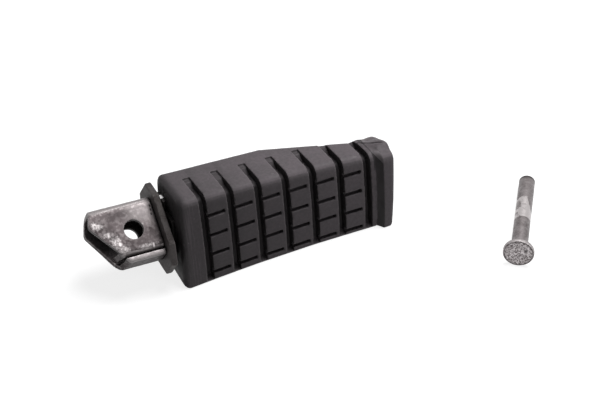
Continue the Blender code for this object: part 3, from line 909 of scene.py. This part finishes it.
class FootpegPinSettings(bpy.types.PropertyGroup):
    colour: FloatVectorProperty(
        name="Steel", description="Colour of the dull pin", subtype="COLOR", default=(0.20, 0.180, 0.182)
    )
    stain: FloatVectorProperty(
        name="Stains", description="Colour of its dark stains",
        subtype="COLOR", default=(0.10, 0.086, 0.086)
    )
    pale: FloatVectorProperty(
        name="Pale Mottling", description="Colour of the pale mottling",
        subtype="COLOR", default=(0.32, 0.295, 0.297)
    )
    dark: FloatVectorProperty(
        name="Dark Marks", description="Colour of the tip, the head's ring and its pit", subtype="COLOR",
        default=(0.040, 0.034, 0.035),
    )
    face: FloatVectorProperty(
        name="Head Face", description="Colour of the hammered head",
        subtype="COLOR", default=(0.52, 0.485, 0.49)
    )
    bare: FloatVectorProperty(
        name="Rubbed Zone", description="Colour of the bright rubbed zone",
        subtype="COLOR", default=(0.45, 0.42, 0.42)
    )
    roughness: FloatProperty(
        name="Roughness", description="Roughness of the pin", default=0.42, min=0.1, max=1.0
    )
    radius: FloatProperty(
        name="Radius", description="Radius of the shaft", default=0.0040, unit="LENGTH", precision=4
    )
    length: FloatProperty(
        name="Length", description="Length with the head", default=0.0587, unit="LENGTH", precision=4
    )
    head_radius: FloatProperty(
        name="Head Radius", description="Radius of the head", default=0.0075, unit="LENGTH", precision=4
    )
    head_thickness: FloatProperty(
        name="Head Thickness", description="Thickness of the head",
        default=0.0022, unit="LENGTH", precision=4
    )
    rubbed_start: FloatProperty(
        name="Rubbed From", description="Start of the bright zone behind the head's face",
        default=0.0243, unit="LENGTH"
    )
    rubbed_end: FloatProperty(
        name="Rubbed To", description="End of the bright zone behind the head's face",
        default=0.0402, unit="LENGTH"
    )


class FootpegStageSettings(bpy.types.PropertyGroup):
    lens: FloatProperty(
        name="Lens", description="Focal length of the camera, in millimetres", default=90.15
    )
    distance: FloatProperty(
        name="Distance", description="Camera's distance from what it looks at",
        default=0.72109, unit="LENGTH"
    )
    azimuth: FloatProperty(
        name="Azimuth", description="Camera's turn to the left, in degrees", default=-26.165
    )
    elevation: FloatProperty(
        name="Elevation", description="Camera's height above the horizon, in degrees", default=41.069
    )
    roll: FloatProperty(name="Roll", description="Camera's roll, in degrees", default=-0.234)
    look_at: FloatVectorProperty(
        name="Look At", description="Point that the camera looks at",
        subtype="XYZ", default=(-0.008469, 0.021501, 0.020484)
    )
    floor: FloatVectorProperty(
        name="Floor", description="Colour of the pale floor", subtype="COLOR", default=(0.42, 0.42, 0.424)
    )
    ambient: FloatProperty(
        name="Ambient", description="Level of the even light from all round", default=0.08
    )
    key: FloatProperty(
        name="Key Lamp", description="Power of the large lamp overhead, in watts", default=7.6
    )
    fill: FloatProperty(
        name="Fill Lamp", description="Power of the lamp at the outer end, in watts", default=0.42
    )


# Operators, one for each piece


class FOOTPEG_OT_tread_rubber(bpy.types.Operator):
    """Builds the moulded rubber sleeve, with softened edges and the slow ripple of the moulding"""

    bl_idname = "footpeg.tread_rubber"
    bl_label = "Tread Rubber"

    def execute(self, context):
        settings = context.scene.footpeg_rubber
        placing = peg_matrix()
        mesh = fine_skin(node_mesh("tread_rubber", placing), settings.cell)
        eased(mesh, settings.easing)
        x, depth, height = points_of(mesh).T
        rounding = ramp(x, RAMP_START - 0.0004, COVE_END)
        rounding = rounding * ramp(depth, 0.004, 0.009) * ramp(height, 0.004, 0.010)
        eased(mesh, settings.end_easing, swell=0.0, share=rounding)
        points = points_of(mesh)
        x, depth, height = points.T
        # The outer end's top rises evenly from the last groove, with no short ramp
        even = np.clip((x - RISE_START) / (RISE_END - RISE_START), 0.0, 1.0)
        ramped = np.clip((x - RAMP_START) / RAMP_LENGTH, 0.0, 1.0)
        upper = ramp(depth, 0.0010, 0.0060) * ramp(height, 0.010, 0.015)
        dome = settings.dome * even * (1 - ramp(depth, 0.0120, 0.0180))
        raised = upper * (dome + RAMP_HEIGHT * (even - ramped))
        away = np.abs(depth - np.interp(x, LOBE_SEAM_X, LOBE_SEAM_DEPTH))
        ends = ramp(x, LOBE_SEAM_X[0], LOBE_SEAM_X[0] + 0.0030) * (1 - ramp(x, 0.0945, 0.0970))
        cut = (1 - ramp(away, 0.0001, 0.0007)) * ends * ramp(height, 0.008, 0.012)
        points[:, 2] += raised - settings.seam * cut
        put_points(mesh, points)

        def ripple(place, normal):
            return settings.ripple * (noise.noise(place * 60.0) + 0.4 * noise.noise(place * 260.0))

        pushed(mesh, ripple)
        # Fewer faces where the skin is flat
        mesh = reshaped(mesh, "DECIMATE", ratio=settings.face_share)
        material = rubber_material(settings)
        finished("rubber_sleeve", mesh, placing, material, "tread_rubber")
        return {"FINISHED"}


class FOOTPEG_OT_core_bar(bpy.types.Operator):
    """Finishes the steel core, of which only the shoulder shows between the plate and the rubber"""

    bl_idname = "footpeg.core_bar"
    bl_label = "Core Bar"

    def execute(self, context):
        settings = context.scene.footpeg_steel
        placing = peg_matrix()
        mesh = fine_skin(node_mesh("core_bar", placing), settings.core_cell)
        eased(mesh, 1)
        material = stained_steel_material("core_steel_finish", settings, 0.030, CORE_GLINT)
        finished("steel_core", mesh, placing, material, "core_bar")
        return {"FINISHED"}


class FOOTPEG_OT_stop_plate(bpy.types.Operator):
    """Builds the eight-sided stop plate with worn edges"""

    bl_idname = "footpeg.stop_plate"
    bl_label = "Stop Plate"

    def execute(self, context):
        settings = context.scene.footpeg_steel
        placing = lug_matrix()
        mesh = fine_skin(node_mesh("stop_plate", placing), settings.cell)
        eased(mesh, 4)

        def wear(place, normal):
            return 0.00005 * noise.noise(place * 150.0) + 0.00003 * noise.noise(place * 600.0)

        pushed(mesh, wear)
        material = stained_steel_material("stained_steel_finish", settings, 0.007)
        finished("plate", mesh, placing, material, "stop_plate")
        return {"FINISHED"}


class FOOTPEG_OT_hinge_lug(bpy.types.Operator):
    """Builds the folded lug as battered sheet steel with rounded, dented edges"""

    bl_idname = "footpeg.hinge_lug"
    bl_label = "Hinge Lug"

    def execute(self, context):
        settings = context.scene.footpeg_lug
        placing = lug_matrix()
        mesh = fine_skin(node_mesh("hinge_lug", placing), settings.cell)
        eased(mesh, 3)
        _, depth, height = points_of(mesh).T
        lap = ramp(-depth, 0.0058, 0.0070) * ramp(-height, 0.0118, 0.0130)
        eased(mesh, settings.lap_easing, swell=0.0, share=lap)

        def dents(place, normal):
            slow = noise.noise(place * 110.0 + Vector((3.1, 0.4, 1.7)))
            quick = noise.noise(place * 480.0)
            return settings.dents * 0.6 * slow + settings.dents * 0.35 * quick

        pushed(mesh, dents)
        finished("lug", mesh, placing, lug_material(settings), "hinge_lug")
        return {"FINISHED"}


class FOOTPEG_OT_hinge_pin(bpy.types.Operator):
    """Turns the headed pin: chamfered tip, worn shaft and a hammered, slightly hollow head"""

    bl_idname = "footpeg.hinge_pin"
    bl_label = "Hinge Pin"

    def execute(self, context):
        settings = context.scene.footpeg_pin
        radius = settings.radius
        head = settings.head_radius
        thick = settings.head_thickness
        end = settings.length
        rim = 0.0005
        hollow = 0.00004
        chamfer = 0.0012
        # The head: a slightly hollow face, a rounded rim, and a small fillet to the shaft
        profile = [(head * step / 14 * 0.93, hollow * (1 - step / 14)) for step in range(15)]
        for angle in (0.5, 0.9, 1.3, 1.57):
            profile.append((head - rim + rim * math.sin(angle), rim - rim * math.cos(angle)))
        profile += [(head, thick * 0.5), (head, thick - 0.0004)]
        profile += [(head - 0.0002, thick - 0.0001), (head - 0.0005, thick), (radius + 0.0012, thick)]
        profile += [(radius + 0.0004, thick + 0.0001), (radius + 0.0001, thick + 0.0004)]
        # The shaft in short steps, and the chamfered tip
        first = thick + 0.0007
        last = end - 0.0009
        profile += [(radius, first + (last - first) * step / 90) for step in range(91)]
        profile += [(radius - 0.0001, last + 0.00012), (radius - 0.0005, end - 0.0004)]
        profile += [(radius - 0.0009, end - 0.0001), (radius - chamfer, end)]
        profile += [((radius - chamfer) * (1 - step / 5), end) for step in range(1, 6)]
        mesh = turned("pin", profile, 96)

        def hammered(place, normal):
            if place.z < thick * 0.4 and normal.z < -0.5:
                fine = 0.00005 * noise.noise(place * 1900.0)
                return 0.00009 * noise.noise(place * 900.0) + fine - 0.00006
            return 0.000018 * noise.noise(place * 500.0) - 0.00002

        pushed(mesh, hammered)
        mesh.set_sharp_from_angle(angle=math.radians(50))
        finished("pin", mesh, pin_matrix(), pin_material(settings), "hinge_pin")
        return {"FINISHED"}


class FOOTPEG_OT_stage(bpy.types.Operator):
    """Sets the pale floor, the soft studio light and the camera"""

    bl_idname = "footpeg.stage"
    bl_label = "Stage"

    def execute(self, context):
        settings = context.scene.footpeg_stage
        floor = new_piece("floor", floor_mesh(), Matrix.Identity(4))
        floor.data.materials.append(floor_material(settings))
        soft_lamp("key", place=(0.28, 0.08, 0.85), aim=(0.0, 0.0, 0.0), side=0.5, power=settings.key)
        soft_lamp("fill", place=(0.26, -0.42, 0.24), aim=(0.03, 0.0, 0.01), side=0.18, power=settings.fill)
        context.scene.world = studio_world(settings)
        place_camera(settings)
        context.scene.view_settings.view_transform = "Standard"
        return {"FINISHED"}


# Stage


FLOOR_HALF = 3.0
FLOOR_LEVEL = -0.00002


def floor_mesh():
    """A wide flat floor just under the peg."""
    far = FLOOR_HALF
    corners = [(x, y, FLOOR_LEVEL) for x, y in ((-far, -far), (far, -far), (far, far), (-far, far))]
    mesh = bpy.data.meshes.new("floor")
    mesh.from_pydata(corners, [], [(0, 1, 2, 3)])
    return mesh


def seen_directly(tree):
    """1 where the camera, a reflection or glass sees a surface, and 0 where it only lights others."""
    path = tree.nodes.new("ShaderNodeLightPath")
    rays = ("Is Camera Ray", "Is Glossy Ray", "Is Transmission Ray")
    return most(*(Number(path.outputs[ray]) for ray in rays))


def floor_material(settings):
    """A matt pale floor that the camera and reflections see near white, and that keeps its shadows."""
    material, tree, shader, _ = new_material("pale_floor")
    fill(shader, Base_Color=(*settings.floor, 1.0), Roughness=0.9, Specular_IOR_Level=0.0)
    fill(shader, Emission_Color=(1.0, 1.0, 1.0, 1.0), Emission_Strength=seen_directly(tree) * 0.8)
    return material


def soft_lamp(name, place, aim, side, power):
    """A square soft lamp at a place, turned to its aim."""
    lamp = bpy.data.lights.new(name, "AREA")
    lamp.size = side
    lamp.energy = power
    made = bpy.data.objects.new(name, lamp)
    bpy.context.scene.collection.objects.link(made)
    made.location = place
    made.rotation_euler = (Vector(aim) - Vector(place)).to_track_quat("-Z", "Y").to_euler()


def studio_world(settings):
    """Even soft light, and a white background where the camera, gloss or glass sees it."""
    world = bpy.data.worlds.new("studio")
    world.use_nodes = True
    tree = world.node_tree
    level = between(seen_directly(tree), 0.0, 1.0, settings.ambient, 1.0)
    fill(tree.nodes["Background"], Color=(1.0, 1.0, 1.0, 1.0), Strength=level)
    return world


def place_camera(settings):
    """The camera at the photograph's viewing angle."""
    angles = (settings.azimuth, settings.elevation, settings.roll)
    azimuth, elevation, roll = map(math.radians, angles)
    flat = math.cos(elevation)
    ahead = Vector((-math.sin(azimuth) * flat, math.cos(azimuth) * flat, -math.sin(elevation)))
    level = Vector((math.cos(azimuth), math.sin(azimuth), 0.0))
    above = level.cross(ahead)
    side = level * math.cos(roll) + above * math.sin(roll)
    upright = above * math.cos(roll) - level * math.sin(roll)
    camera = bpy.data.cameras.new("camera")
    camera.lens = settings.lens
    camera.clip_start = 0.01
    origin = Vector(settings.look_at) - ahead * settings.distance
    placing = axes_matrix(origin, side, upright, -ahead)
    bpy.context.scene.camera = new_piece("camera", camera, placing)


# Panel and registering


class FOOTPEG_PT_pieces(bpy.types.Panel):
    """Lists the footpeg's pieces and their settings"""

    bl_idname = "FOOTPEG_PT_pieces"
    bl_label = "Passenger Footpeg"
    bl_space_type = "VIEW_3D"
    bl_region_type = "UI"
    bl_category = "Footpeg"

    def draw(self, context):
        for operator, group in PIECES:
            box = self.layout.box()
            box.operator(operator.bl_idname)
            settings = getattr(context.scene, group)
            for key in settings.__annotations__:
                box.prop(settings, key)


SETTINGS = (
    ("footpeg_rubber", FootpegRubberSettings),
    ("footpeg_steel", FootpegSteelSettings),
    ("footpeg_lug", FootpegLugSettings),
    ("footpeg_pin", FootpegPinSettings),
    ("footpeg_stage", FootpegStageSettings),
)
PIECES = (
    (FOOTPEG_OT_tread_rubber, "footpeg_rubber"),
    (FOOTPEG_OT_core_bar, "footpeg_steel"),
    (FOOTPEG_OT_stop_plate, "footpeg_steel"),
    (FOOTPEG_OT_hinge_lug, "footpeg_lug"),
    (FOOTPEG_OT_hinge_pin, "footpeg_pin"),
    (FOOTPEG_OT_stage, "footpeg_stage"),
)


def register():
    for name, group in SETTINGS:
        bpy.utils.register_class(group)
        setattr(bpy.types.Scene, name, PointerProperty(type=group))
    for operator, _ in PIECES:
        bpy.utils.register_class(operator)
    bpy.utils.register_class(FOOTPEG_PT_pieces)


def unregister():
    bpy.utils.unregister_class(FOOTPEG_PT_pieces)
    for operator, _ in reversed(PIECES):
        bpy.utils.unregister_class(operator)
    for name, group in reversed(SETTINGS):
        delattr(bpy.types.Scene, name)
        bpy.utils.unregister_class(group)


def main():
    register()
    build_groups()
    bpy.ops.footpeg.tread_rubber()
    bpy.ops.footpeg.core_bar()
    bpy.ops.footpeg.stop_plate()
    bpy.ops.footpeg.hinge_lug()
    bpy.ops.footpeg.hinge_pin()
    bpy.ops.footpeg.stage()


if __name__ == "__main__":
    main()
